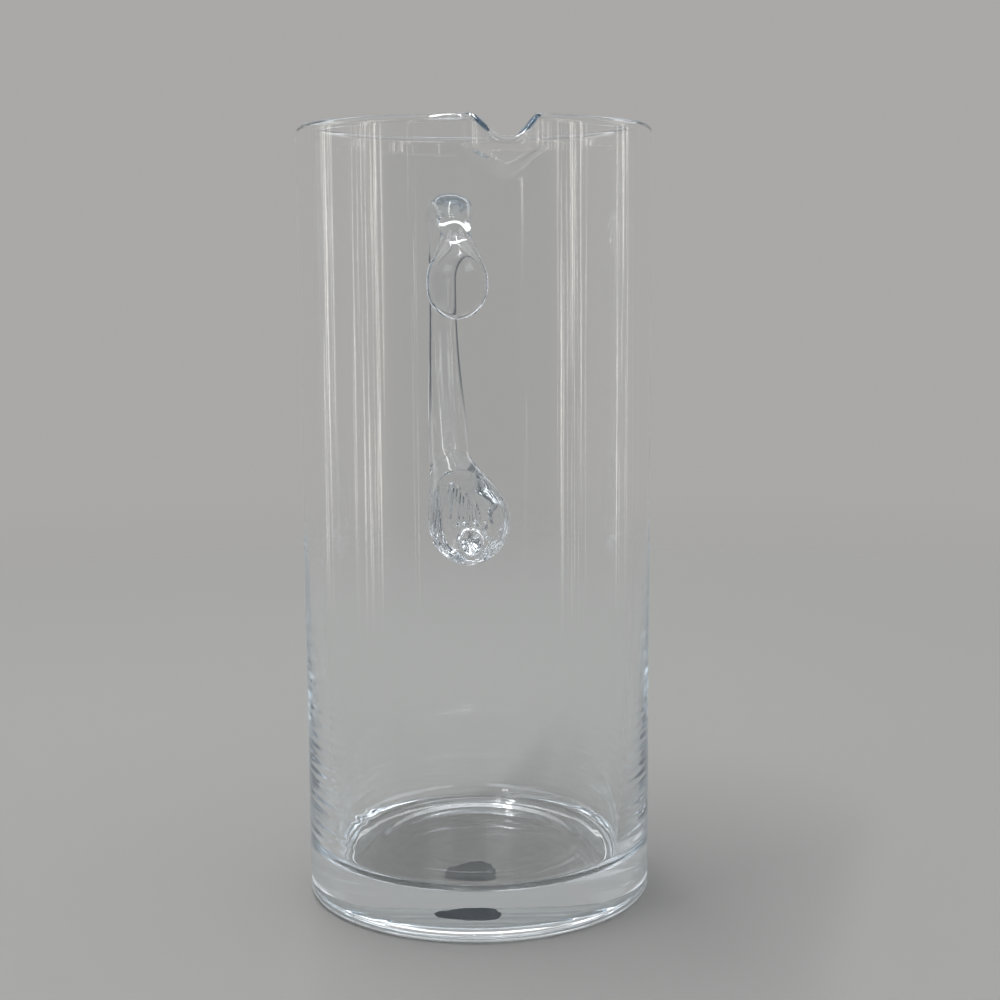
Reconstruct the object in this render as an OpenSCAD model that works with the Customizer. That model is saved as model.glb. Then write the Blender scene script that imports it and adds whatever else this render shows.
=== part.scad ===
// Hand-blown glass pitcher: a thick-walled cylinder with a pulled spout, a handle
// drawn from one gather of glass and fused to the wall at both ends, and a small
// plain label stuck under the base.
// Millimetres, +Z up. The origin is the middle of the foot, and the spout points to -Y.

/* [Body] */
// Outer diameter of the body
body_d = 110; // [95:1:125]
// Height of the rim above the table
body_h = 243; // [225:1:270]
// Wall thickness in the upper part of the body
wall = 5; // [3.5:0.1:6.5]
// How much thicker the wall has become where it reaches the floor
wall_swell = 3.9; // [1:0.1:6]
// Height at which the wall starts to thicken downwards
swell_h = 130; // [90:1:160]
// Height of the inside floor above the table
floor_h = 13.4; // [10:0.2:18]
// Radius between the inside of the wall and the floor
floor_fillet = 5; // [3:0.5:12]
// Rounding of the outer bottom edge
foot_round = 2; // [1:0.5:5]
// Width of the flat ring that the pitcher stands on
foot_ring_w = 8; // [5:0.5:12]
// Depth of the hollow under the base
hollow_depth = 0.6; // [0.4:0.1:1.5]
// Width of the slope between the foot ring and the hollow
hollow_slope_w = 1.5; // [1:0.5:5]

/* [Spout] */
// Width of the bulge of the spout, measured round the rim
spout_w = 27; // [22:0.5:34]
// How far the tip stands out from the wall
spout_reach = 5; // [3:0.5:9]
// How far below the rim the bulge begins
spout_drop = 19; // [14:0.5:26]
// Depth of the pouring notch below the rim
notch_depth = 6.6; // [3:0.2:9]
// Width of the pouring notch at the rim
notch_w = 20.5; // [14:0.5:26]
// Width of the level floor of the notch
notch_floor_w = 2; // [1:0.5:8]

/* [Handle] */
// How far round the handle stands from the line opposite the spout, in degrees
handle_deg = 2.5; // [-8:0.5:8]
// How far the outer face of the strap stands out from the wall
handle_reach = 43; // [36:0.5:55]
// Distance from the rim down to the top of the arch
arch_below_rim = 18; // [12:0.5:24]
// Distance from the rim down to the outermost point of the strap
crest_below_rim = 48; // [40:0.5:56]
// Strap thickness at its outermost point
strap_t = 8.5; // [6:0.5:10]
// Strap thickness over the arch
arch_t = 11.5; // [8:0.5:13]
// Strap thickness where it rises from the gob
strap_low_t = 11; // [8:0.5:13]
// Strap width where it rises from the gob
strap_low_w = 16; // [13:0.5:20]
// Strap width at its outermost point
strap_mid_w = 10.6; // [8:0.2:13]
// Strap width over the arch
arch_w = 17.2; // [12:0.2:20]
// How far the strap stands to the left of the upper pad, as seen from the spout
strap_left = 2; // [0:0.2:4]

/* [Handle seats] */
// Height of the middle of the lower gob above the table
gob_z = 111.5; // [100:0.5:120]
// Width of the gob
gob_w = 31.5; // [25:0.5:36]
// Height of the gob
gob_h = 34; // [28:0.5:40]
// How far the gob stands out from the wall
gob_reach = 18; // [14:0.5:22]
// How far the gob sits to the right of the upper pad, as seen from the spout
gob_right = 4; // [0:0.2:5]
// Distance from the strap's outermost point down to the widest point of the upper pad
pad_below_crest = 2; // [1:0.5:10]
// Width of the upper pad
pad_w = 23; // [17:0.5:27]
// Width of the neck above the pad
neck_w = 11.5; // [9:0.5:14]
// How far the middle of the pad stands out from the wall
pad_reach = 3; // [2.5:0.5:6]

/* [Label] */
// Diameter of the label
label_d = 18.5; // [12:0.5:24]
// Label thickness
label_t = 0.2; // [0.1:0.05:0.3]
// How far the label sits from the middle towards the spout
label_front = 18; // [0:0.5:20]
// How far the label sits to the left of the spout
label_left = 5.3; // [0:0.1:8]

/* [Hidden] */
$fn = 120;

body_r = body_d / 2;
rim_r = wall / 2;
hollow_r = body_r - foot_round - foot_ring_w;

// Easing from 0 to 1, flat at both ends
function ease(u) = let (v = min(max(u, 0), 1)) v * v * (3 - 2 * v);
function mix(a, b, u) = a + (b - a) * u;

// Points of an arc round c from angle from_a to to_a, in n steps
function arc(c, r, from_a, to_a, n) = [
    for (i = [0 : n])
        let (a = mix(from_a, to_a, i / n))
        c + r * [cos(a), sin(a)]
];

// Inside radius of the vessel, which falls away on a parabola below swell_h
swell_span = swell_h - floor_h;
function swell(z) = wall_swell * pow(max(swell_h - z, 0) / swell_span, 2);
function inner_r(z) = body_r - wall - swell(z);
function inner_lean(z) = atan(2 * wall_swell * max(swell_h - z, 0) / pow(swell_span, 2));

// Half section of the vessel
edge_steps = 10;
swell_steps = 12;
fillet_lean = inner_lean(floor_h + floor_fillet);
fillet_top = floor_h + floor_fillet * (1 - sin(fillet_lean));
fillet_mid = [inner_r(fillet_top) - floor_fillet * cos(fillet_lean), floor_h + floor_fillet];
vessel_outline = concat(
    [[0, hollow_depth], [hollow_r - hollow_slope_w, hollow_depth], [hollow_r, 0]],
    arc([body_r - foot_round, foot_round], foot_round, -90, 0, edge_steps),
    arc([body_r - rim_r, body_h - rim_r], rim_r, 0, 180, edge_steps),
    [
        for (i = [0 : swell_steps - 1])
            let (z = mix(swell_h, fillet_top, i / swell_steps))
            [inner_r(z), z]
    ],
    arc(fillet_mid, floor_fillet, -fillet_lean, -90, edge_steps),
    [[0, floor_h]]
);

// Spout: a stretch of the wall and rim, lofted round the body in columns. Beyond the
// bulge it lies a hair inside the wall, so it joins the turned vessel without a step
// that can be felt.
skin = 0.02;
joint_deg = 2.5;
joint_h = 4;
lip_cols = 44;
lip_rows = 12;
rim_steps = 8;
bulge_deg = spout_w / body_r * 90 / PI;
notch_deg = notch_w / body_r * 90 / PI;
notch_floor_deg = notch_floor_w / body_r * 90 / PI;
slot_deg = bulge_deg + joint_deg;
lip_deg = slot_deg + joint_deg;
bulge_low = body_h - spout_drop;
slot_low = bulge_low - joint_h;
lip_low = slot_low - joint_h;
tip_z = body_h - notch_depth - rim_r;
// Share of the bulge's width that stands out fully, its width where it begins as a
// share of its width at the tip, and how late it swings out and widens on the way up
bulge_flat_share = 0.12;
bulge_root_share = 0.28;
bulge_power = 1.5;
bulge_flare_power = 1.4;

// The notch is 1 on its floor and 0 beyond its flanks, and the climb runs from 0 where
// the bulge begins to 1 below the round of the tip's rim
function notch(a) = ease((notch_deg - abs(a)) / (notch_deg - notch_floor_deg));
function rim_z(a) = body_h - skin - notch_depth * notch(a);
function climb(z) = min(max((z - bulge_low) / (tip_z - bulge_low), 0), 1);
function bulge_half(z) = bulge_deg * mix(bulge_root_share, 1, pow(climb(z), bulge_flare_power));
function bulge(a, z) =
    spout_reach * pow(climb(z), bulge_power)
    * ease((1 - abs(a) / bulge_half(z)) / (1 - bulge_flat_share));

// One column of the lip, up the outside, over the rounded rim and down the inside
lip_rim_r = rim_r - skin;
function lip_column(a) =
    let (crown_z = rim_z(a) - lip_rim_r)
    concat(
        [
            for (i = [0 : lip_rows - 1])
                [body_r - skin, mix(lip_low, crown_z, i / lip_rows)]
        ],
        arc([body_r - rim_r, crown_z], lip_rim_r, 0, 180, rim_steps),
        [
            for (i = [lip_rows - 1 : -1 : 0])
                [body_r - wall + skin, mix(lip_low, crown_z, i / lip_rows)]
        ]
    );

// A point at radius r and height z on the column at angle a, pushed out by the bulge
function lip_point(a, p) =
    let (r = p[0] + bulge(a, p[1]))
    [r * sin(a), -r * cos(a), p[1]];

// Triangles that join ring after ring of n points, all turned the same way
function ring_faces(rings, n) = [
    for (i = [0 : rings - 2], j = [0 : n - 1], half = [0, 1])
        let (k = (j + 1) % n)
        half == 0
            ? [i * n + j, (i + 1) * n + j, (i + 1) * n + k]
            : [i * n + j, (i + 1) * n + k, i * n + k]
];

// Triangles that close a column of n points, outside to inside, up to its crown
function column_faces(n) =
    let (crown = (n - 1) / 2)
    concat(
        [for (j = [0 : crown - 1]) [j, n - 2 - j, n - 1 - j]],
        [for (j = [0 : crown - 2]) [j, j + 1, n - 2 - j]]
    );

module lip() {
    columns = [for (i = [0 : lip_cols]) mix(lip_deg, -lip_deg, i / lip_cols)];
    n = len(lip_column(0));
    last = lip_cols * n;
    polyhedron(
        points = [for (a = columns, p = lip_column(a)) lip_point(a, p)],
        faces = concat(
            ring_faces(lip_cols + 1, n),
            column_faces(n),
            [for (f = column_faces(n)) [last + f[2], last + f[1], last + f[0]]]
        )
    );
}

// The stretch of wall that the lip takes the place of
module spout_slot() {
    far = 2 * body_r;
    translate([0, 0, slot_low])
        linear_extrude(2 * spout_drop)
            polygon([
                [0, 0],
                far * [-sin(slot_deg), -cos(slot_deg)],
                far * [sin(slot_deg), -cos(slot_deg)]
            ]);
}

module glass_body() {
    color("lightcyan", 0.45) union() {
        difference() {
            rotate_extrude()
                polygon(vessel_outline);
            spout_slot();
        }
        lip();
    }
}

// Handle: one drawn piece. Each station along it is
// [out from the wall, height, lean, sideways, width, thickness], where lean is the
// direction of travel: 0 is up, -90 is towards the wall and -180 is down.
// The gob and the pad are rounded forms whose middles lie a share of their reach out
// from the wall. What reaches inside the wall is cut away along the body's surface.
seat_share = 0.28;
crest_z = body_h - crest_below_rim;
crest_out = handle_reach - strap_t / 2;
arch_z = body_h - arch_below_rim - arch_t / 2;
pad_z = crest_z - pad_below_crest;
pad_out = pad_reach * seat_share;
pad_t = 2 * (pad_reach - pad_out);
pad_drop = pad_w / 2;
// How early the pad thins towards its end: the lower the power, the blunter the end
pad_end_power = 0.25;
gob_out = gob_reach * seat_share;
gob_t = 2 * (gob_reach - gob_out);
// Height of the strap's root above the gob's middle, as a share of the gob's height
root_rise_share = 0.62;
root_z = gob_z + gob_h * root_rise_share;
root_out = gob_reach - strap_low_t / 2;
// Pull of the strap's curve at its root, outwards and upwards, as shares of the gob's
// height, and below its crest, as a share of its climb
root_out_share = 0.38;
root_up_share = 0.41;
crest_share = 0.51;
root_pull = gob_h * [root_out_share, root_up_share];
crest_pull = (crest_z - root_z) * crest_share;
// Pull of the gob's upper half, upwards from its middle as a share of the gob's height,
// and back from the strap's root as a share of the root's pull
gob_pull_share = 0.35;
root_back_share = 0.4;
gob_pull = gob_h * gob_pull_share;

gob_steps = 8;
shoulder_steps = 8;
strap_steps = 14;
arch_steps = 20;
pad_steps = 9;
ring_steps = 24;
section_power = 2.1;

function gob_station(a) = [
    gob_out,
    gob_z + gob_h / 2 * sin(a),
    0,
    gob_right,
    gob_w * cos(a),
    gob_t * cos(a)
];

// The gob's upper half leans over into the strap's root, and the strap rises from there
// to the crest, both on cubic curves that run into each other without a bend
gob_mid = [gob_out, gob_z];
root = [root_out, root_z];
shoulder_curve = [gob_mid, gob_mid + [0, gob_pull], root - root_back_share * root_pull, root];
strap_curve = [root, root + root_pull, [crest_out, crest_z - crest_pull], [crest_out, crest_z]];
function cubic(p, u) =
    pow(1 - u, 3) * p[0] + 3 * u * pow(1 - u, 2) * p[1]
    + 3 * u * u * (1 - u) * p[2] + pow(u, 3) * p[3];
function cubic_slope(p, u) =
    pow(1 - u, 2) * (p[1] - p[0]) + 2 * u * (1 - u) * (p[2] - p[1]) + u * u * (p[3] - p[2]);
function curve_station(p, u, side, width, thick) =
    let (c = cubic(p, u), d = cubic_slope(p, u))
    [c[0], c[1], atan2(d[0], d[1]), side, width, thick];
function shoulder_station(u) = curve_station(
    shoulder_curve,
    u,
    mix(gob_right, -strap_left, ease(u)),
    mix(gob_w, strap_low_w, ease(u)),
    mix(gob_t, strap_low_t, ease(u))
);
function strap_station(u) = curve_station(
    strap_curve,
    u,
    -strap_left,
    mix(strap_low_w, strap_mid_w, ease(u)),
    mix(strap_low_t, strap_t, ease(u))
);

// The arch is half an ellipse from the crest over to the wall, and it spreads into
// the pad as it comes down
arch_half = (crest_out - pad_out) / 2;
arch_rise = arch_z - crest_z;
// Angles round the arch at which the neck is narrowest and stands over the pad, and
// at which the strap starts to flatten
neck_deg = 140;
flatten_deg = 100;
function arch_width(a) =
    a < 90
        ? mix(strap_mid_w, arch_w, ease(a / 90))
        : a < neck_deg
            ? mix(arch_w, neck_w, ease((a - 90) / (neck_deg - 90)))
            : mix(neck_w, pad_w, ease((a - neck_deg) / (180 - neck_deg)));
function flatten(a) = ease((a - flatten_deg) / (180 - flatten_deg));
function arch_station(a) = [
    pad_out + arch_half * (1 + cos(a)),
    crest_z + arch_rise * sin(a),
    -atan2(arch_half * sin(a), arch_rise * cos(a)),
    -strap_left * (1 - ease(a / neck_deg)),
    arch_width(a),
    mix(mix(strap_t, arch_t, ease(a / 90)), pad_t, flatten(a))
];

// The pad ends in a half round
function pad_station(a) = [
    pad_out,
    pad_z - pad_drop * sin(a),
    -180,
    0,
    pad_w * cos(a),
    pad_t * pow(cos(a), pad_end_power)
];

handle_stations = concat(
    [for (i = [1 : gob_steps]) gob_station(mix(-90, 0, i / gob_steps))],
    [for (i = [1 : shoulder_steps - 1]) shoulder_station(i / shoulder_steps)],
    [for (i = [0 : strap_steps]) strap_station(i / strap_steps)],
    [for (i = [1 : arch_steps]) arch_station(180 * i / arch_steps)],
    [for (i = [0 : pad_steps - 1]) pad_station(90 * i / pad_steps)]
);

// A point that is d out from the wall and s sideways, laid round the body
function wall_point(d, s, z) =
    let (r = body_r + d, a = handle_deg + s / r * 180 / PI)
    [r * sin(a), r * cos(a), z];

// A rounded section, a little fuller than an ellipse
function full(v) = sign(v) * pow(abs(v), 2 / section_power);
function station_point(t, a) =
    let (s = t[3] + t[4] / 2 * full(cos(a)), n = t[5] / 2 * full(sin(a)))
    wall_point(t[0] + n * cos(t[2]), s, t[1] - n * sin(t[2]));

module drawn_handle() {
    rings = len(handle_stations);
    n = ring_steps;
    foot = wall_point(gob_out, gob_right, gob_z - gob_h / 2);
    tip = wall_point(pad_out, 0, pad_z - pad_drop);
    first = rings * n;
    last = (rings - 1) * n;
    polyhedron(
        points = concat(
            [
                for (t = handle_stations, j = [0 : n - 1])
                    station_point(t, 360 * j / n)
            ],
            [foot, tip]
        ),
        faces = concat(
            ring_faces(rings, n),
            [for (j = [0 : n - 1]) [first, j, (j + 1) % n]],
            [for (j = [0 : n - 1]) [first + 1, last + (j + 1) % n, last + j]]
        )
    );
}

module handle() {
    color("paleturquoise", 0.6) difference() {
        drawn_handle();
        cylinder(r = body_r, h = body_h);
    }
}

// Label: a thin disc on the hollow under the base
module base_label() {
    color("dimgray")
        translate([-label_left, -label_front, hollow_depth - label_t])
            cylinder(d = label_d, h = label_t);
}

glass_body();
handle();
base_label();
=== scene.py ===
"""Looks of a hand-blown glass pitcher: the vessel, its drawn handle and the label under its base."""

import math

import bpy
from mathutils import Matrix, Vector


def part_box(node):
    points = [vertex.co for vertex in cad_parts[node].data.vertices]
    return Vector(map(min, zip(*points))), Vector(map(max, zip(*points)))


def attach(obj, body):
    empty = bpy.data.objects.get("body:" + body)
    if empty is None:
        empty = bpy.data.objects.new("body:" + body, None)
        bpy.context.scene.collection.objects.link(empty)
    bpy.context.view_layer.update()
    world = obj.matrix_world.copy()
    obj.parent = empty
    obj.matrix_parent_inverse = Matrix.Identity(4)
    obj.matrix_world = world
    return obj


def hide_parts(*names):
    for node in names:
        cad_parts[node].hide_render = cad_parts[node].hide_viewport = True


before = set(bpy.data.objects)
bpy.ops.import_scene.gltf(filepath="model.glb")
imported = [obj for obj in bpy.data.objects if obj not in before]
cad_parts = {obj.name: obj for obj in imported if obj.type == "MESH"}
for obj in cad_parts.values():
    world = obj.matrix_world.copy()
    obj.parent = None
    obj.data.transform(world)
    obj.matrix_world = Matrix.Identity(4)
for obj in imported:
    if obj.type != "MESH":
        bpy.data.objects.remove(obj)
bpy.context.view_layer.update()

MM = 0.001
QUARTER_TURN = math.pi / 2
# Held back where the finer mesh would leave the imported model's box
HAIR = 0.03 * MM

# Vessel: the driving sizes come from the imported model
body_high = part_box("glass_body")[1]
BODY_R = body_high.x
BODY_H = body_high.z
WALL = 5 * MM
WALL_SWELL = 3.9 * MM
SWELL_H = 130 * MM
FLOOR_H = 13.4 * MM
FLOOR_FILLET = 5 * MM
FOOT_ROUND = 2 * MM
FOOT_RING_W = 8 * MM
HOLLOW_DEPTH = 0.6 * MM
HOLLOW_SLOPE_W = 1.5 * MM
HOLLOW_R = BODY_R - FOOT_ROUND - FOOT_RING_W
RIM_R = WALL / 2
CROWN_Z = BODY_H - RIM_R

# Faint rings that the turning leaves on the inside of the thick lower wall:
# pitch up the wall, depth, waves round the wall and phase of each set
RING_TOP = 78 * MM
RING_SETS = (
    (4.1 * MM, 0.034 * MM, 1, 0.4),
    (2.9 * MM, 0.030 * MM, -1, 2.1),
    (2.1 * MM, 0.010 * MM, 2, 4.4),
)
# The rings are deepest on the flanks: angles from the spout where they start, are full, begin to
# fade and have faded to their share at the back
RING_START, RING_FULL = math.radians(40), math.radians(80)
RING_FADE, RING_FADED = math.radians(110), math.radians(150)
RING_BACK_SHARE = 0.25

# Ripples on the cavity floor: pitch, depth and phase of each set, the radii between which they grow
# from nothing and die away again, and how far and how often they sway on the way round
RIPPLE_SETS = (
    (6.4 * MM, 0.070 * MM, 0.3),
    (4.1 * MM, 0.036 * MM, 1.9),
)
RIPPLE_GROW = (12 * MM, 30 * MM)
RIPPLE_DIE = (45 * MM, 41 * MM)
RIPPLE_SWAY = 0.5
RIPPLE_SWAYS = 3

# Spout
SPOUT_W = 27 * MM
SPOUT_REACH = 5 * MM - HAIR
SPOUT_DROP = 19 * MM
NOTCH_DEPTH = 6.6 * MM
NOTCH_W = 20.5 * MM
NOTCH_FLOOR_W = 2 * MM
# Shape of the bulge: share of its half width that is level, share of its full width that it has at
# its lower end, and the powers by which it grows out and widens on the way up
BULGE_FLAT = 0.12
BULGE_ROOT = 0.28
BULGE_POWER = 1.5
BULGE_FLARE = 1.4
BULGE_ANGLE = SPOUT_W / BODY_R / 2
NOTCH_ANGLE = NOTCH_W / BODY_R / 2
NOTCH_FLOOR_ANGLE = NOTCH_FLOOR_W / BODY_R / 2
BULGE_LOW = BODY_H - SPOUT_DROP
TIP_Z = BODY_H - NOTCH_DEPTH - RIM_R
# The rim's dip into the notch is shared out over the wall from here up
LIP_LOW = BULGE_LOW - 8 * MM
# Fold lines that run down from the notch and meet below it in a V: height of the meeting point,
# angle at the tip's height, bend of the lines, depth and half width of the fold, and the height
# over which it dies away below the meeting point
FOLD_LOW = BODY_H - 14.5 * MM
FOLD_ANGLE = 0.175
FOLD_BEND = 0.8
FOLD_DEPTH = 0.30 * MM
FOLD_HALF_W = 0.9 * MM
FOLD_TAIL = 3.6 * MM

# Mesh of the vessel: steps along each stretch of its half section, from the middle of the foot over
# the rim to the middle of the floor, and the radius of the discs that close it in the middle
HOLLOW_STEPS = 4
SLOPE_STEPS = 9
FOOT_RING_STEPS = 3
FOOT_STEPS = 12
WALL_STEPS = 12
LIP_STEPS = 40
RIM_STEPS = 20
UPPER_STEPS = 18
RING_STEPS = 110
FILLET_STEPS = 32
FLOOR_STEPS = 64
POLE_R = 4 * MM
# Columns of the mesh across the spout, half the angle that they span, and columns round the rest
SPOUT_COLUMNS = 80
SPOUT_SPAN = math.radians(22)
REST_COLUMNS = 192

# Handle
HANDLE_TURN = math.radians(2.5)
HANDLE_REACH = 43 * MM - HAIR
ARCH_BELOW_RIM = 18 * MM
CREST_BELOW_RIM = 48 * MM
STRAP_T = 8.5 * MM
STRAP_LOW_T = 11 * MM
STRAP_LOW_W = 16 * MM
STRAP_MID_W = 10.6 * MM
STRAP_SIDE = -2 * MM
ARCH_W = 17.2 * MM
ARCH_T = 11.5 * MM
GOB_Z = 111.5 * MM
GOB_W = 31.5 * MM
GOB_H = 34 * MM
GOB_REACH = 18 * MM
GOB_SIDE = 4 * MM
PAD_BELOW_CREST = 2 * MM
PAD_W = 23 * MM
NECK_W = 11.5 * MM
PAD_REACH = 3 * MM
# Power by which the pad thins towards its tip
PAD_THINNING = 0.25
# Share of its reach at which the middle of a fused section lies
SEAT_SHARE = 0.28
# Root of the strap above the gob's middle, in gob heights, and the pulls, out and up, that bend the
# handle's line at the root and at the gob. A share of the root's pull acts below the root, and a
# share of the strap's rise pulls it upright at the crest.
ROOT_RISE = 0.62
ROOT_PULL = Vector((0.38, 0.41)) * GOB_H
GOB_PULL = Vector((0, 0.35)) * GOB_H
ROOT_BACK = 0.4
CREST_SHARE = 0.51
# Turns of the arch at which its neck is narrowest and from which it flattens into the pad
NECK_TURN = math.radians(140)
FLATTEN_TURN = math.radians(100)
# Power of the rounded section, where 2 is an ellipse
SECTION_POWER = 2.1
# How far the handle's fused faces lie inside the wall, so that no air shows in the joint
FUSE_DEPTH = 0.4 * MM

# Mesh of the handle: steps along each stretch and points round it
GOB_STEPS = 90
SHOULDER_STEPS = 80
STRAP_STEPS = 70
ARCH_STEPS = 90
PAD_STEPS = 40
HANDLE_POINTS = 240

# Tool marks in the outer face of the gob, in shares of its half width and half height from its middle.
# Pockets: deepest point across and up, half width, half height, share that slopes down and depth
POCKETS = (
    (0.77, 0.00, 0.22, 0.33, 0.55, 2.4 * MM),
    (0.62, -0.34, 0.21, 0.20, 0.55, 1.8 * MM),
)
# Share of a pocket's slope that is rounded at its rim and again at its bottom
POCKET_ROUND = 0.22
# Ringed pocket round a conical nub: tip across and up, half width of the nub, heights above and
# below its tip, depth, where the pocket's rim lies in half widths of the nub, and how blunt the tip is
NUB_P, NUB_Q = 0.09, -0.52
NUB_HALF_P, NUB_ABOVE, NUB_BELOW = 0.27, 0.21, 0.30
NUB_DEPTH = 4.4 * MM
NUB_RIM = 1.36
NUB_TIP = 0.12
# A pressed flat whose right side slants
FLAT_LEFT, FLAT_RIGHT, FLAT_SLANT = -0.62, 0.62, 0.86
FLAT_LOW, FLAT_HIGH = -0.30, 1.0
FLAT_FLANK = 0.22
FLAT_DEPTH = 1.8 * MM
# Flutes on the flat: depth, pitch and phase of each set, how fast they draw together upwards, and
# how far inside the edge of the flat they are full
FLUTES = (
    (0.95 * MM, 0.27, 0.0),
    (0.45 * MM, 0.43, 1.3),
)
FLUTE_TAPER = 0.35
FLUTE_INSET = 0.26

# Label
LABEL_R = 18.5 * MM / 2
LABEL_T = 0.2 * MM
LABEL_FRONT = 18 * MM
LABEL_LEFT = 5.3 * MM
# How far the glue wets the label's upper face into the glass
LABEL_WET = 0.08 * MM
# Torn edge, in shares of the radius: depth and number of the tears, then depth, number and phase
# of each set of small nicks
TEAR_DEPTH, TEARS = 0.09, 3
NICK_SETS = (
    (0.022, 7, 0.6),
    (0.016, 13, 2.2),
)
# Mesh of the label: shares of the radius between which its faces are stepped, shares of its
# thickness between which its edge is, steps along both, and points round it
LABEL_FACE, LABEL_FACE_STEPS = (0.1, 0.98), 8
LABEL_EDGE, LABEL_EDGE_STEPS = (0.15, 0.85), 4
LABEL_POINTS = 120

# Glass: bend of light, colour of thick glass and how strongly it shows
GLASS_IOR = 1.5
TINT = (0.70, 0.88, 1)
TINT_DENSITY = 2.6
# Fine unevenness of the blown and the drawn glass: scale of the noise, its stretch along Z and height
BLOWN_BUMP = (110, 14, 0.02 * MM)
DRAWN_BUMP = (90, 3, 0.04 * MM)
BUMP_DETAIL = 2
# Paper: shades and fineness of its fibres
PAPER_DARK = (0.105, 0.120, 0.138)
PAPER_LIGHT = (0.170, 0.195, 0.220)
PAPER_SCALE = 900
PAPER_DETAIL = 6
PAPER_ROUGHNESS = 0.8

# Camera: where it stands, as seen from the middle of the foot, and how it is turned, in radians
CAMERA_AZIMUTH = math.radians(-9.3)
CAMERA_DISTANCE = 553 * MM
CAMERA_HEIGHT = 203.9 * MM
CAMERA_PITCH = 0.1399
CAMERA_YAW = 0.0134
CAMERA_ROLL = -0.0058
LENS_MM = 63.0
SENSOR_MM = 36.0

# Studio
BACKDROP = (0.400, 0.394, 0.384)
WORLD_LIGHT = 0.7
# The room that only the glass sees, one part over the other: its shade, and the shares of the
# direction, or the times that the light was mirrored, between which it sets in, or fades out where
# the first is the larger. The walls are as low as the eye, so they show only in mirrored light: a
# look straight through the glass meets the backdrop.
ROOM = (
    # Dark wall behind the camera
    ((0.07, 0.085, 0.10), (("mirrored", (0.2, 0.8)), ("backward", (0.2, 0.6)))),
    # Side walls
    ((1.2, 1.23, 1.28), (("mirrored", (1.2, 1.8)), ("sideways", (0.90, 0.98)))),
    # Ceiling
    ((0.9, 0.93, 0.98), (("up", (0.86, 0.97)),)),
    # Strip of light above the backdrop
    ((2.4, 2.45, 2.5), (("forward", (0.2, 0.4)), ("up", (0.50, 0.53)), ("up", (0.62, 0.58)))),
    # Window on each side of the backdrop
    (
        (1.5, 1.55, 1.6),
        (
            ("forward", (0.2, 0.4)),
            ("sideways", (0.30, 0.42)),
            ("up", (0.36, 0.40)),
            ("up", (0.54, 0.50)),
        ),
    ),
    # High windows behind the camera
    (
        (2.6, 2.7, 2.8),
        (
            ("backward", (0.15, 0.3)),
            ("sideways", (0.20, 0.26)),
            ("sideways", (0.58, 0.52)),
            ("up", (0.38, 0.44)),
            ("up", (0.78, 0.70)),
        ),
    ),
)
FLOOR_COLOUR = (0.41, 0.415, 0.41)
FLOOR_R = 2.4
FLOOR_SIDES = 96
# The floor lies a hair below the foot, so that air stays under the glass
FLOOR_GAP = 0.15 * MM
# Distances from the middle at which the floor has faded out and is still full
FLOOR_FADE = (1.0, 0.30)

# Softbox above the pitcher: place, point that it faces, width and depth, brightness and colour
SOFTBOX_PLACE = Vector((-0.2, 0.1, 1.25))
SOFTBOX_TARGET = Vector((0, 0, 0.1))
SOFTBOX_SIZE = (0.9, 0.06)
SOFTBOX_RADIANCE = 30
SOFTBOX_COLOUR = (1, 0.99, 0.97)

# Tall uneven light panels on both sides of the camera, which the glass mirrors as upright streaks:
# angle from the camera's direction in degrees, width, brightness and shift of the uneven pattern
PANELS = (
    (-104, 150 * MM, 6.0, 5.1),
    (-68, 210 * MM, 10.0, 0.0),
    (-37, 40 * MM, 10.0, 1.9),
    (29, 34 * MM, 8.0, 2.2),
    (60, 190 * MM, 10.0, 3.7),
    (102, 120 * MM, 7.0, 6.6),
)
PANEL_DISTANCE = 0.42
PANEL_H = 0.60
PANEL_COLOUR = (1, 0.97, 0.91)
# Middle of a panel's width, and the shares of its width and height over which its glow sets in
PANEL_MIDDLE = 0.5
PANEL_SIDE = (0, 0.2)
PANEL_FOOT = (0, 0.22)
# Bands of a panel: width, height over which a band changes, values of the pattern between which it
# starts to glow, and fineness of the pattern
BAND_W = 9 * MM
BAND_H = 260 * MM
BAND_RANGE = (0.49, 0.66)
BAND_DETAIL = 3
BAND_ROUGHNESS = 0.75

# Light runs down inside the thick wall in many bounces
LIGHT_BOUNCES = 64


def clamp(u):
    return min(max(u, 0), 1)


def ease(u):
    """Smooth step from 0 to 1, flat at both ends."""
    v = clamp(u)
    return v * v * (3 - 2 * v)


def mix(a, b, u):
    return a + (b - a) * u


def steps(a, b, n):
    """n + 1 even steps from a to b."""
    return [mix(a, b, i / n) for i in range(n + 1)]


def skin(name, rings, first_pole, last_pole):
    """A closed smooth mesh through rings of equally many points, shut by a point at each end."""
    count = len(rings[0])
    points = [p for ring in rings for p in ring] + [first_pole, last_pole]
    first = len(rings) * count
    faces = []
    for i in range(len(rings) - 1):
        for j in range(count):
            k = (j + 1) % count
            faces.append((i * count + j, i * count + k, (i + 1) * count + k, (i + 1) * count + j))
    end = (len(rings) - 1) * count
    for j in range(count):
        k = (j + 1) % count
        faces.append((first, k, j))
        faces.append((first + 1, end + j, end + k))
    mesh = bpy.data.meshes.new(name)
    mesh.from_pydata(points, [], faces)
    mesh.validate()
    mesh.shade_smooth()
    piece = bpy.data.objects.new(name, mesh)
    bpy.context.scene.collection.objects.link(piece)
    return piece


def dress(piece, node, material):
    """Ties a piece to the part's body and to its finish, and hides the node it stands for."""
    piece.data.materials.append(material)
    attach(piece, "root")
    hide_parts(node)


# Vessel shape
def inner_radius(z):
    fall = max(SWELL_H - z, 0) / (SWELL_H - FLOOR_H)
    return BODY_R - WALL - WALL_SWELL * fall * fall


def inner_lean(z):
    return math.atan(2 * WALL_SWELL * max(SWELL_H - z, 0) / (SWELL_H - FLOOR_H) ** 2)


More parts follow.
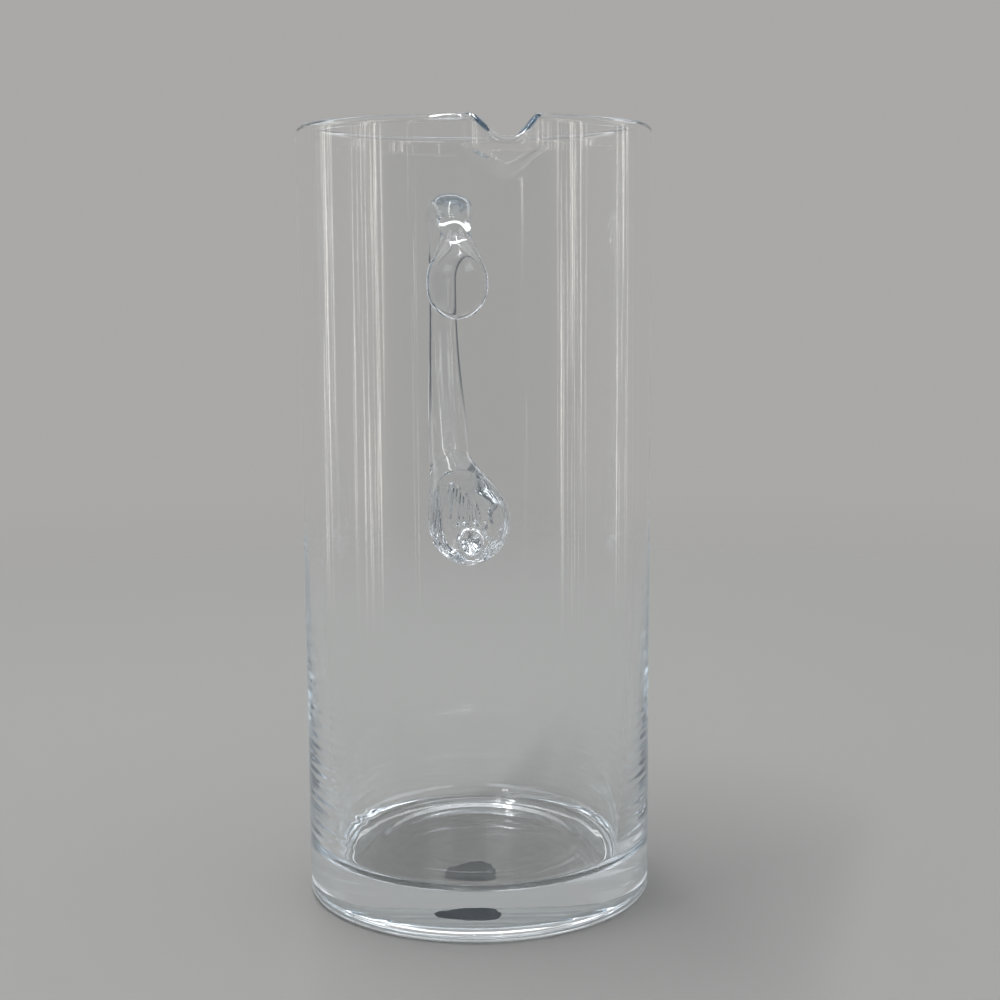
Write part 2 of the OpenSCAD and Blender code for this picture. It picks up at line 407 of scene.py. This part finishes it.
def arc(centre, radius, start, end, n):
    return [
        (centre[0] + radius * math.cos(a), centre[1] + radius * math.sin(a))
        for a in steps(start, end, n)
    ]


def vessel_profile():
    """Half section as (radius, height, inside), from the middle of the foot to that of the floor."""
    slope_in = HOLLOW_R - HOLLOW_SLOPE_W
    foot_r = BODY_R - FOOT_ROUND
    under = [(r, HOLLOW_DEPTH) for r in steps(POLE_R, slope_in, HOLLOW_STEPS)]
    under += [
        (mix(slope_in, HOLLOW_R, u), HOLLOW_DEPTH * (1 - ease(u)))
        for u in steps(0, 1, SLOPE_STEPS)[1:]
    ]
    under += [(r, 0.0) for r in steps(HOLLOW_R, foot_r, FOOT_RING_STEPS)[1:-1]]
    foot = arc((foot_r, FOOT_ROUND), FOOT_ROUND, -QUARTER_TURN, 0, FOOT_STEPS)
    wall_up = [(BODY_R, z) for z in steps(FOOT_ROUND, LIP_LOW, WALL_STEPS)[1:]]
    wall_up += [(BODY_R, z) for z in steps(LIP_LOW, CROWN_Z, LIP_STEPS)[1:-1]]
    rim = arc((BODY_R - RIM_R, CROWN_Z), RIM_R, 0, math.pi, RIM_STEPS)
    top = RIM_STEPS // 2 + 1
    outside = under + foot + wall_up + rim[:top]

    lean = inner_lean(FLOOR_H + FLOOR_FILLET)
    fillet_top = FLOOR_H + FLOOR_FILLET * (1 - math.sin(lean))
    fillet_r = inner_radius(fillet_top) - FLOOR_FILLET * math.cos(lean)
    heights = steps(CROWN_Z, LIP_LOW, LIP_STEPS)[1:]
    heights += steps(LIP_LOW, RING_TOP, UPPER_STEPS)[1:]
    heights += steps(RING_TOP, fillet_top, RING_STEPS)[1:-1]
    down = [(inner_radius(z), z) for z in heights]
    fillet = arc((fillet_r, FLOOR_H + FLOOR_FILLET), FLOOR_FILLET, -lean, -QUARTER_TURN, FILLET_STEPS)
    floor = [(r, FLOOR_H) for r in steps(fillet_r, POLE_R, FLOOR_STEPS)[1:]]
    inside = rim[top:] + down + fillet + floor
    return [(r, z, False) for r, z in outside] + [(r, z, True) for r, z in inside]


def notch(angle):
    """1 on the level floor of the pouring notch, 0 beyond its flanks."""
    return ease((NOTCH_ANGLE - abs(angle)) / (NOTCH_ANGLE - NOTCH_FLOOR_ANGLE))


def lip_height(angle, z):
    """Height of a wall point once the rim dips into the notch."""
    return z - NOTCH_DEPTH * notch(angle) * clamp((z - LIP_LOW) / (CROWN_Z - LIP_LOW))


def bulge(angle, z):
    """How far the spout pushes the wall out."""
    climb = clamp((z - BULGE_LOW) / (TIP_Z - BULGE_LOW))
    half = BULGE_ANGLE * mix(BULGE_ROOT, 1, climb**BULGE_FLARE)
    return SPOUT_REACH * climb**BULGE_POWER * ease((1 - abs(angle) / half) / (1 - BULGE_FLAT))


def fold(angle, z):
    """Depth of the fold lines below the notch."""
    rise = clamp((z - FOLD_LOW) / (TIP_Z - FOLD_LOW))
    away = BODY_R * (abs(angle) - FOLD_ANGLE * rise**FOLD_BEND) / FOLD_HALF_W
    below = max(FOLD_LOW - z, 0) / FOLD_TAIL
    return FOLD_DEPTH * math.exp(-away * away - below * below)


def ring_marks(angle, z):
    """Depth of the turning marks on the inside of the lower wall."""
    fade = ease((RING_TOP - z) / (RING_TOP - FLOOR_H)) * ease((z - FLOOR_H) / FLOOR_FILLET)
    waves = sum(
        depth * math.sin(math.tau * z / pitch + turns * angle + phase)
        for pitch, depth, turns, phase in RING_SETS
    )
    flank = ease((abs(angle) - RING_START) / (RING_FULL - RING_START))
    faded = ease((abs(angle) - RING_FADE) / (RING_FADED - RING_FADE))
    return flank * mix(1, RING_BACK_SHARE, faded) * fade * waves


def ripples(angle, r):
    """Height of the ripples on the cavity floor, which sway on the way round."""
    grow = ease((r - RIPPLE_GROW[0]) / (RIPPLE_GROW[1] - RIPPLE_GROW[0]))
    die = ease((r - RIPPLE_DIE[0]) / (RIPPLE_DIE[1] - RIPPLE_DIE[0]))
    waves = 0.0
    for pitch, depth, phase in RIPPLE_SETS:
        sway = RIPPLE_SWAY * math.sin(RIPPLE_SWAYS * angle + phase)
        waves += depth * math.sin(math.tau * r / pitch + phase + sway)
    return grow * die * waves


def column_angles():
    """Angles round the body, measured from the spout, closer together across the spout."""
    spout = steps(-SPOUT_SPAN, SPOUT_SPAN, SPOUT_COLUMNS)
    return spout + steps(SPOUT_SPAN, math.tau - SPOUT_SPAN, REST_COLUMNS)[1:-1]


def make_body(material):
    angles = [math.remainder(a, math.tau) for a in column_angles()]
    rings = []
    for r, z, inside in vessel_profile():
        ring = []
        for a in angles:
            h = lip_height(a, z)
            out = r + bulge(a, h)
            if not inside and z > LIP_LOW:
                out -= fold(a, h)
            if inside:
                out += ring_marks(a, z)
                h += ripples(a, r) if z < FLOOR_H + FLOOR_FILLET else 0
            ring.append((out * math.sin(a), -out * math.cos(a), h))
        rings.append(ring)
    body = skin("glass_body_blown", rings, (0, 0, HOLLOW_DEPTH), (0, 0, FLOOR_H))
    dress(body, "glass_body", material)


# Handle shape
# A station is (out from the wall, height, lean, sideways, width, thickness)
CREST_Z = BODY_H - CREST_BELOW_RIM
CREST_OUT = HANDLE_REACH - STRAP_T / 2
ARCH_Z = BODY_H - ARCH_BELOW_RIM - ARCH_T / 2
PAD_Z = CREST_Z - PAD_BELOW_CREST
PAD_OUT = PAD_REACH * SEAT_SHARE
PAD_T = 2 * (PAD_REACH - PAD_OUT)
PAD_DROP = PAD_W / 2
GOB_OUT = GOB_REACH * SEAT_SHARE
GOB_T = 2 * (GOB_REACH - GOB_OUT)
GOB_MID = Vector((GOB_OUT, GOB_Z))
ROOT = Vector((GOB_REACH - STRAP_LOW_T / 2, GOB_Z + GOB_H * ROOT_RISE))
CREST = Vector((CREST_OUT, CREST_Z))
SHOULDER_CURVE = (GOB_MID, GOB_MID + GOB_PULL, ROOT - ROOT_BACK * ROOT_PULL, ROOT)
CREST_PULL = Vector((0, CREST_SHARE * (CREST_Z - ROOT.y)))
STRAP_CURVE = (ROOT, ROOT + ROOT_PULL, CREST - CREST_PULL, CREST)
ARCH_HALF = (CREST_OUT - PAD_OUT) / 2
ARCH_RISE = ARCH_Z - CREST_Z


def gob_station(a):
    c = math.cos(a)
    return (GOB_OUT, GOB_Z + GOB_H / 2 * math.sin(a), 0, GOB_SIDE, GOB_W * c, GOB_T * c)


def curve_station(points, u, side, width, thick):
    """A station on a cubic curve, square to the curve."""
    p0, p1, p2, p3 = points
    v = 1 - u
    at = v**3 * p0 + 3 * u * v * v * p1 + 3 * u * u * v * p2 + u**3 * p3
    slope = v * v * (p1 - p0) + 2 * u * v * (p2 - p1) + u * u * (p3 - p2)
    return (at.x, at.y, math.atan2(slope.x, slope.y), side, width, thick)


def shoulder_station(u):
    e = ease(u)
    side = mix(GOB_SIDE, STRAP_SIDE, e)
    width = mix(GOB_W, STRAP_LOW_W, e)
    return curve_station(SHOULDER_CURVE, u, side, width, mix(GOB_T, STRAP_LOW_T, e))


def strap_station(u):
    e = ease(u)
    width = mix(STRAP_LOW_W, STRAP_MID_W, e)
    return curve_station(STRAP_CURVE, u, STRAP_SIDE, width, mix(STRAP_LOW_T, STRAP_T, e))


def arch_width(a):
    if a < QUARTER_TURN:
        return mix(STRAP_MID_W, ARCH_W, ease(a / QUARTER_TURN))
    if a < NECK_TURN:
        return mix(ARCH_W, NECK_W, ease((a - QUARTER_TURN) / (NECK_TURN - QUARTER_TURN)))
    return mix(NECK_W, PAD_W, ease((a - NECK_TURN) / (math.pi - NECK_TURN)))


def arch_station(a):
    out = PAD_OUT + ARCH_HALF * (1 + math.cos(a))
    lean = -math.atan2(ARCH_HALF * math.sin(a), ARCH_RISE * math.cos(a))
    flat = ease((a - FLATTEN_TURN) / (math.pi - FLATTEN_TURN))
    height = CREST_Z + ARCH_RISE * math.sin(a)
    thick = mix(mix(STRAP_T, ARCH_T, ease(a / QUARTER_TURN)), PAD_T, flat)
    side = STRAP_SIDE * (1 - ease(a / NECK_TURN))
    return (out, height, lean, side, arch_width(a), thick)


def pad_station(a):
    c = math.cos(a)
    height = PAD_Z - PAD_DROP * math.sin(a)
    return (PAD_OUT, height, -math.pi, 0, PAD_W * c, PAD_T * c**PAD_THINNING)


def handle_stations():
    gob = [gob_station(a) for a in steps(-QUARTER_TURN, 0, GOB_STEPS)[1:]]
    shoulder = [shoulder_station(u) for u in steps(0, 1, SHOULDER_STEPS)[1:-1]]
    strap = [strap_station(u) for u in steps(0, 1, STRAP_STEPS)]
    arch = [arch_station(a) for a in steps(0, math.pi, ARCH_STEPS)[1:]]
    pad = [pad_station(a) for a in steps(0, QUARTER_TURN, PAD_STEPS)[:-1]]
    return gob + shoulder + strap + arch + pad


def wall_point(out, side, z):
    """A point out from the wall and sideways, laid round the body."""
    r = BODY_R + max(out, -FUSE_DEPTH)
    a = HANDLE_TURN + side / (BODY_R + out)
    return (r * math.sin(a), r * math.cos(a), z)


def full(v):
    """Fills an ellipse out a little."""
    return math.copysign(abs(v) ** (2 / SECTION_POWER), v)


def slope_down(u):
    """An even slope from 0 to 1, rounded at both ends."""
    k = POCKET_ROUND
    v = clamp(u)
    if v < k:
        return v * v / (2 * k * (1 - k))
    if v > 1 - k:
        return 1 - (1 - v) ** 2 / (2 * k * (1 - k))
    return (v - k / 2) / (1 - k)


def nub_pocket(p, q):
    """Depth of the ringed pocket, which comes back up to the tip of the nub in its middle."""
    reach = NUB_ABOVE if q > NUB_Q else NUB_BELOW
    r = math.hypot((p - NUB_P) / NUB_HALF_P, (q - NUB_Q) / reach)
    if r > 1:
        return NUB_DEPTH * ease((NUB_RIM - r) / (NUB_RIM - 1))
    return NUB_DEPTH * (math.hypot(r, NUB_TIP) - NUB_TIP) / (math.hypot(1, NUB_TIP) - NUB_TIP)


def flat_share(p, q, flank):
    """1 on the pressed flat, falling to 0 at its edge over the width of the flank."""
    across = ease((p - FLAT_LEFT) / flank) * ease((FLAT_RIGHT - FLAT_SLANT * q - p) / flank)
    return across * ease((q - FLAT_LOW) / flank) * ease((FLAT_HIGH - q) / flank)


def tool_marks(side, z):
    """How far the tool has sunk the outer face of the gob."""
    p = (side - GOB_SIDE) / (GOB_W / 2)
    q = (z - GOB_Z) / (GOB_H / 2)
    sunk = nub_pocket(p, q)
    for mid_p, mid_q, half_p, half_q, flank, depth in POCKETS:
        r = math.hypot((p - mid_p) / half_p, (q - mid_q) / half_q)
        sunk += depth * slope_down((1 - r) / flank)
    flutes = sum(
        depth * math.cos(math.tau * p * (1 + FLUTE_TAPER * q) / pitch + phase)
        for depth, pitch, phase in FLUTES
    )
    return sunk + flat_share(p, q, FLAT_FLANK) * FLAT_DEPTH + flat_share(p, q, FLUTE_INSET) * flutes


def make_handle(material):
    rings = []
    for out, height, lean, side, width, thick in handle_stations():
        ring = []
        for a in steps(0, math.tau, HANDLE_POINTS)[:-1]:
            s = side + width / 2 * full(math.cos(a))
            n = thick / 2 * full(math.sin(a))
            n -= tool_marks(s, height) * max(math.sin(a), 0)
            ring.append(wall_point(out + n * math.cos(lean), s, height - n * math.sin(lean)))
        rings.append(ring)
    foot = wall_point(GOB_OUT, GOB_SIDE, GOB_Z - GOB_H / 2)
    tip = wall_point(PAD_OUT, 0, PAD_Z - PAD_DROP)
    handle = skin("handle_drawn", rings, foot, tip)
    dress(handle, "handle", material)


# Label shape
def label_radius(a):
    """Radius of the torn edge at an angle from the spout."""
    torn = TEAR_DEPTH * (1 - math.sin(TEARS * a))
    nicks = sum(depth * (1 + math.sin(count * a + phase)) for depth, count, phase in NICK_SETS)
    return LABEL_R * (1 - torn - nicks)


def make_label(material):
    low, high = HOLLOW_DEPTH - LABEL_T, HOLLOW_DEPTH + LABEL_WET
    shares = steps(*LABEL_FACE, LABEL_FACE_STEPS)
    profile = [(u, low) for u in shares]
    profile += [(1.0, mix(low, high, u)) for u in steps(*LABEL_EDGE, LABEL_EDGE_STEPS)]
    profile += [(u, high) for u in reversed(shares)]
    rings = []
    for share, z in profile:
        ring = []
        for a in steps(0, math.tau, LABEL_POINTS)[:-1]:
            r = share * label_radius(a)
            ring.append((r * math.sin(a) - LABEL_LEFT, -r * math.cos(a) - LABEL_FRONT, z))
        rings.append(ring)
    middle = (-LABEL_LEFT, -LABEL_FRONT)
    label = skin("base_label_paper", rings, (*middle, low), (*middle, high))
    dress(label, "base_label", material)


# Shader steps
def shape_range(nodes, links, source, edge):
    """A smooth rise from 0 at the first value of edge to 1 at the second, which may be the smaller."""
    rise = nodes.new("ShaderNodeMapRange")
    rise.interpolation_type = "SMOOTHSTEP"
    rise.inputs["From Min"].default_value = edge[0]
    rise.inputs["From Max"].default_value = edge[1]
    links.new(source, rise.inputs["Value"])
    return rise.outputs["Result"]


def blend(nodes, links, factor, first, second):
    """Colour that turns from first, a socket, to second, a plain colour."""
    both = nodes.new("ShaderNodeMix")
    both.data_type = "RGBA"
    links.new(factor, both.inputs["Factor"])
    links.new(first, both.inputs["A"])
    both.inputs["B"].default_value = (*second, 1)
    return both.outputs["Result"]


def calculate(nodes, links, operation, *values):
    """One arithmetic step on sockets and plain numbers."""
    step = nodes.new("ShaderNodeMath")
    step.operation = operation
    for socket, value in zip(step.inputs, values):
        if isinstance(value, (int, float)):
            socket.default_value = value
        else:
            links.new(value, socket)
    return step.outputs[0]


# Materials
def new_material(name):
    material = bpy.data.materials.new(name)
    material.use_nodes = True
    nodes = material.node_tree.nodes
    return material, nodes, material.node_tree.links, nodes["Principled BSDF"]


def add_bump(nodes, links, shader, scale, stretch, distance):
    """Fine unevenness from noise, drawn out along Z by stretch."""
    place = nodes.new("ShaderNodeTexCoord")
    turn = nodes.new("ShaderNodeMapping")
    turn.inputs["Scale"].default_value = (1, 1, 1 / stretch)
    noise = nodes.new("ShaderNodeTexNoise")
    noise.inputs["Scale"].default_value = scale
    noise.inputs["Detail"].default_value = BUMP_DETAIL
    bump = nodes.new("ShaderNodeBump")
    bump.inputs["Strength"].default_value = 1
    bump.inputs["Distance"].default_value = distance
    links.new(place.outputs["Object"], turn.inputs["Vector"])
    links.new(turn.outputs["Vector"], noise.inputs["Vector"])
    links.new(noise.outputs["Fac"], bump.inputs["Height"])
    links.new(bump.outputs["Normal"], shader.inputs["Normal"])


def glass(name, bump):
    """Clear fire-polished glass, faintly blue where it is thick."""
    material, nodes, links, shader = new_material(name)
    shader.inputs["Base Color"].default_value = (1, 1, 1, 1)
    shader.inputs["Roughness"].default_value = 0
    shader.inputs["IOR"].default_value = GLASS_IOR
    shader.inputs["Transmission Weight"].default_value = 1
    add_bump(nodes, links, shader, *bump)
    tint = nodes.new("ShaderNodeVolumeAbsorption")
    tint.inputs["Color"].default_value = (*TINT, 1)
    tint.inputs["Density"].default_value = TINT_DENSITY
    links.new(tint.outputs["Volume"], nodes["Material Output"].inputs["Volume"])
    return material


def paper(name):
    """Dark matte paper with faint fibres."""
    material, nodes, links, shader = new_material(name)
    noise = nodes.new("ShaderNodeTexNoise")
    noise.inputs["Scale"].default_value = PAPER_SCALE
    noise.inputs["Detail"].default_value = PAPER_DETAIL
    ramp = nodes.new("ShaderNodeValToRGB")
    ramp.color_ramp.elements[0].color = (*PAPER_DARK, 1)
    ramp.color_ramp.elements[1].color = (*PAPER_LIGHT, 1)
    place = nodes.new("ShaderNodeTexCoord")
    links.new(place.outputs["Object"], noise.inputs["Vector"])
    links.new(noise.outputs["Fac"], ramp.inputs["Fac"])
    links.new(ramp.outputs["Color"], shader.inputs["Base Color"])
    shader.inputs["Roughness"].default_value = PAPER_ROUGHNESS
    return material


# Studio
def floor_material():
    """Pale matte floor that fades into the backdrop with distance."""
    material, nodes, links, shader = new_material("studio_floor")
    shader.inputs["Base Color"].default_value = (*FLOOR_COLOUR, 1)
    shader.inputs["Roughness"].default_value = 1
    shader.inputs["Specular IOR Level"].default_value = 0
    place = nodes.new("ShaderNodeTexCoord")
    length = nodes.new("ShaderNodeVectorMath")
    length.operation = "LENGTH"
    links.new(place.outputs["Object"], length.inputs[0])
    fade = shape_range(nodes, links, length.outputs["Value"], FLOOR_FADE)
    links.new(fade, shader.inputs["Alpha"])
    return material


def make_floor():
    bpy.ops.mesh.primitive_circle_add(vertices=FLOOR_SIDES, radius=FLOOR_R, fill_type="NGON")
    floor = bpy.context.object
    floor.name = "studio_floor"
    floor.location.z = -FLOOR_GAP
    floor.data.materials.append(floor_material())


def room_colour(nodes, links, path, colour):
    """The room's parts laid over the backdrop's colour, each where its limits let it show."""
    place = nodes.new("ShaderNodeTexCoord")
    axes = nodes.new("ShaderNodeSeparateXYZ")
    links.new(place.outputs["Generated"], axes.inputs["Vector"])
    shares = {
        "mirrored": path.outputs["Glossy Depth"],
        "forward": axes.outputs["Y"],
        "backward": calculate(nodes, links, "MULTIPLY", axes.outputs["Y"], -1),
        "sideways": calculate(nodes, links, "ABSOLUTE", axes.outputs["X"]),
        "up": axes.outputs["Z"],
    }
    for shade, limits in ROOM:
        cover = 1
        for share, edge in limits:
            shown = shape_range(nodes, links, shares[share], edge)
            cover = calculate(nodes, links, "MULTIPLY", cover, shown)
        colour = blend(nodes, links, cover, colour, shade)
    return colour


def make_world():
    """Plain backdrop for the eye, a room for gloss and glass, and soft even light for the rest."""
    world = bpy.data.worlds.new("studio")
    bpy.context.scene.world = world
    world.use_nodes = True
    nodes, links = world.node_tree.nodes, world.node_tree.links
    light = nodes["Background"]
    light.inputs["Color"].default_value = (1, 1, 1, 1)
    light.inputs["Strength"].default_value = WORLD_LIGHT
    plain = nodes.new("ShaderNodeRGB")
    plain.outputs[0].default_value = (*BACKDROP, 1)
    eye = nodes.new("ShaderNodeBackground")
    links.new(plain.outputs[0], eye.inputs["Color"])
    path = nodes.new("ShaderNodeLightPath")
    room = nodes.new("ShaderNodeBackground")
    links.new(room_colour(nodes, links, path, plain.outputs[0]), room.inputs["Color"])
    bent = calculate(
        nodes, links, "MAXIMUM", path.outputs["Is Glossy Ray"], path.outputs["Is Transmission Ray"]
    )
    through = nodes.new("ShaderNodeMixShader")
    links.new(bent, through.inputs["Fac"])
    links.new(light.outputs[0], through.inputs[1])
    links.new(room.outputs[0], through.inputs[2])
    pick = nodes.new("ShaderNodeMixShader")
    links.new(path.outputs["Is Camera Ray"], pick.inputs["Fac"])
    links.new(through.outputs[0], pick.inputs[1])
    links.new(eye.outputs[0], pick.inputs[2])
    links.new(pick.outputs[0], nodes["World Output"].inputs["Surface"])


def make_softbox():
    """A long softbox of an even brightness, turned to face its target."""
    data = bpy.data.lights.new("softbox_top", "AREA")
    data.shape = "RECTANGLE"
    data.size, data.size_y = SOFTBOX_SIZE
    data.energy = SOFTBOX_RADIANCE * math.pi * data.size * data.size_y
    data.color = SOFTBOX_COLOUR
    lamp = bpy.data.objects.new("softbox_top", data)
    lamp.location = SOFTBOX_PLACE
    lamp.rotation_euler = (SOFTBOX_TARGET - SOFTBOX_PLACE).to_track_quat("-Z", "Y").to_euler()
    lamp.visible_camera = False
    bpy.context.scene.collection.objects.link(lamp)


def panel_material(name, width, radiance, shift):
    """Upright bands of glow that die away to the panel's sides and its foot."""
    material = bpy.data.materials.new(name)
    material.use_nodes = True
    nodes, links = material.node_tree.nodes, material.node_tree.links
    nodes.clear()
    place = nodes.new("ShaderNodeTexCoord")
    axes = nodes.new("ShaderNodeSeparateXYZ")
    links.new(place.outputs["Generated"], axes.inputs["Vector"])
    turn = nodes.new("ShaderNodeMapping")
    turn.inputs["Location"].default_value = (shift, shift, 0)
    turn.inputs["Scale"].default_value = (width / BAND_W, PANEL_H / BAND_H, 1)
    links.new(place.outputs["Generated"], turn.inputs["Vector"])
    noise = nodes.new("ShaderNodeTexNoise")
    noise.inputs["Scale"].default_value = 1
    noise.inputs["Detail"].default_value = BAND_DETAIL
    noise.inputs["Roughness"].default_value = BAND_ROUGHNESS
    links.new(turn.outputs["Vector"], noise.inputs["Vector"])
    bands = shape_range(nodes, links, noise.outputs["Fac"], BAND_RANGE)
    from_side = calculate(nodes, links, "PINGPONG", axes.outputs["X"], PANEL_MIDDLE)
    sides = shape_range(nodes, links, from_side, PANEL_SIDE)
    foot = shape_range(nodes, links, axes.outputs["Y"], PANEL_FOOT)
    faded = calculate(nodes, links, "MULTIPLY", sides, foot)
    banded = calculate(nodes, links, "MULTIPLY", bands, faded)
    glow = nodes.new("ShaderNodeEmission")
    glow.inputs["Color"].default_value = (*PANEL_COLOUR, 1)
    links.new(calculate(nodes, links, "MULTIPLY", banded, radiance), glow.inputs["Strength"])
    clear = nodes.new("ShaderNodeBsdfTransparent")
    both = nodes.new("ShaderNodeAddShader")
    links.new(glow.outputs[0], both.inputs[0])
    links.new(clear.outputs[0], both.inputs[1])
    end = nodes.new("ShaderNodeOutputMaterial")
    links.new(both.outputs[0], end.inputs["Surface"])
    return material


def make_panel(name, turn, width, radiance, shift):
    """A light panel that only mirrors see."""
    bpy.ops.mesh.primitive_plane_add(size=1)
    panel = bpy.context.object
    panel.name = name
    a = CAMERA_AZIMUTH + math.radians(turn)
    panel.scale = (width, PANEL_H, 1)
    panel.rotation_euler = (QUARTER_TURN, 0, a)
    panel.location = (PANEL_DISTANCE * math.sin(a), -PANEL_DISTANCE * math.cos(a), PANEL_H / 2)
    panel.data.materials.append(panel_material(name, width, radiance, shift))
    panel.visible_camera = False
    panel.visible_diffuse = False
    panel.visible_transmission = False
    panel.visible_shadow = False


def make_camera():
    data = bpy.data.cameras.new("photo_view")
    data.lens = LENS_MM
    data.sensor_width = SENSOR_MM
    camera = bpy.data.objects.new("photo_view", data)
    bpy.context.scene.collection.objects.link(camera)
    turn = Matrix.Rotation(CAMERA_AZIMUTH, 3, "Z")
    right = Vector((math.cos(CAMERA_YAW), -math.sin(CAMERA_YAW), 0))
    level = Vector((math.sin(CAMERA_YAW), math.cos(CAMERA_YAW), 0))
    forward = level * math.cos(CAMERA_PITCH) - Vector((0, 0, math.sin(CAMERA_PITCH)))
    up = level * math.sin(CAMERA_PITCH) + Vector((0, 0, math.cos(CAMERA_PITCH)))
    tilted = right * math.cos(CAMERA_ROLL) + up * math.sin(CAMERA_ROLL)
    upright = up * math.cos(CAMERA_ROLL) - right * math.sin(CAMERA_ROLL)
    axes = Matrix((turn @ tilted, turn @ upright, turn @ -forward)).transposed()
    place = turn @ Vector((0, -CAMERA_DISTANCE, CAMERA_HEIGHT))
    camera.matrix_world = Matrix.Translation(place) @ axes.to_4x4()
    bpy.context.scene.camera = camera


scene = bpy.context.scene
scene.view_settings.view_transform = "Standard"
scene.cycles.max_bounces = LIGHT_BOUNCES
scene.cycles.glossy_bounces = LIGHT_BOUNCES
scene.cycles.transmission_bounces = LIGHT_BOUNCES

make_camera()
make_world()
make_floor()
make_softbox()
for i, panel in enumerate(PANELS):
    make_panel(f"panel_{i}", *panel)
make_body(glass("clear_glass_blown", BLOWN_BUMP))
make_handle(glass("clear_glass_drawn", DRAWN_BUMP))
make_label(paper("label_paper"))
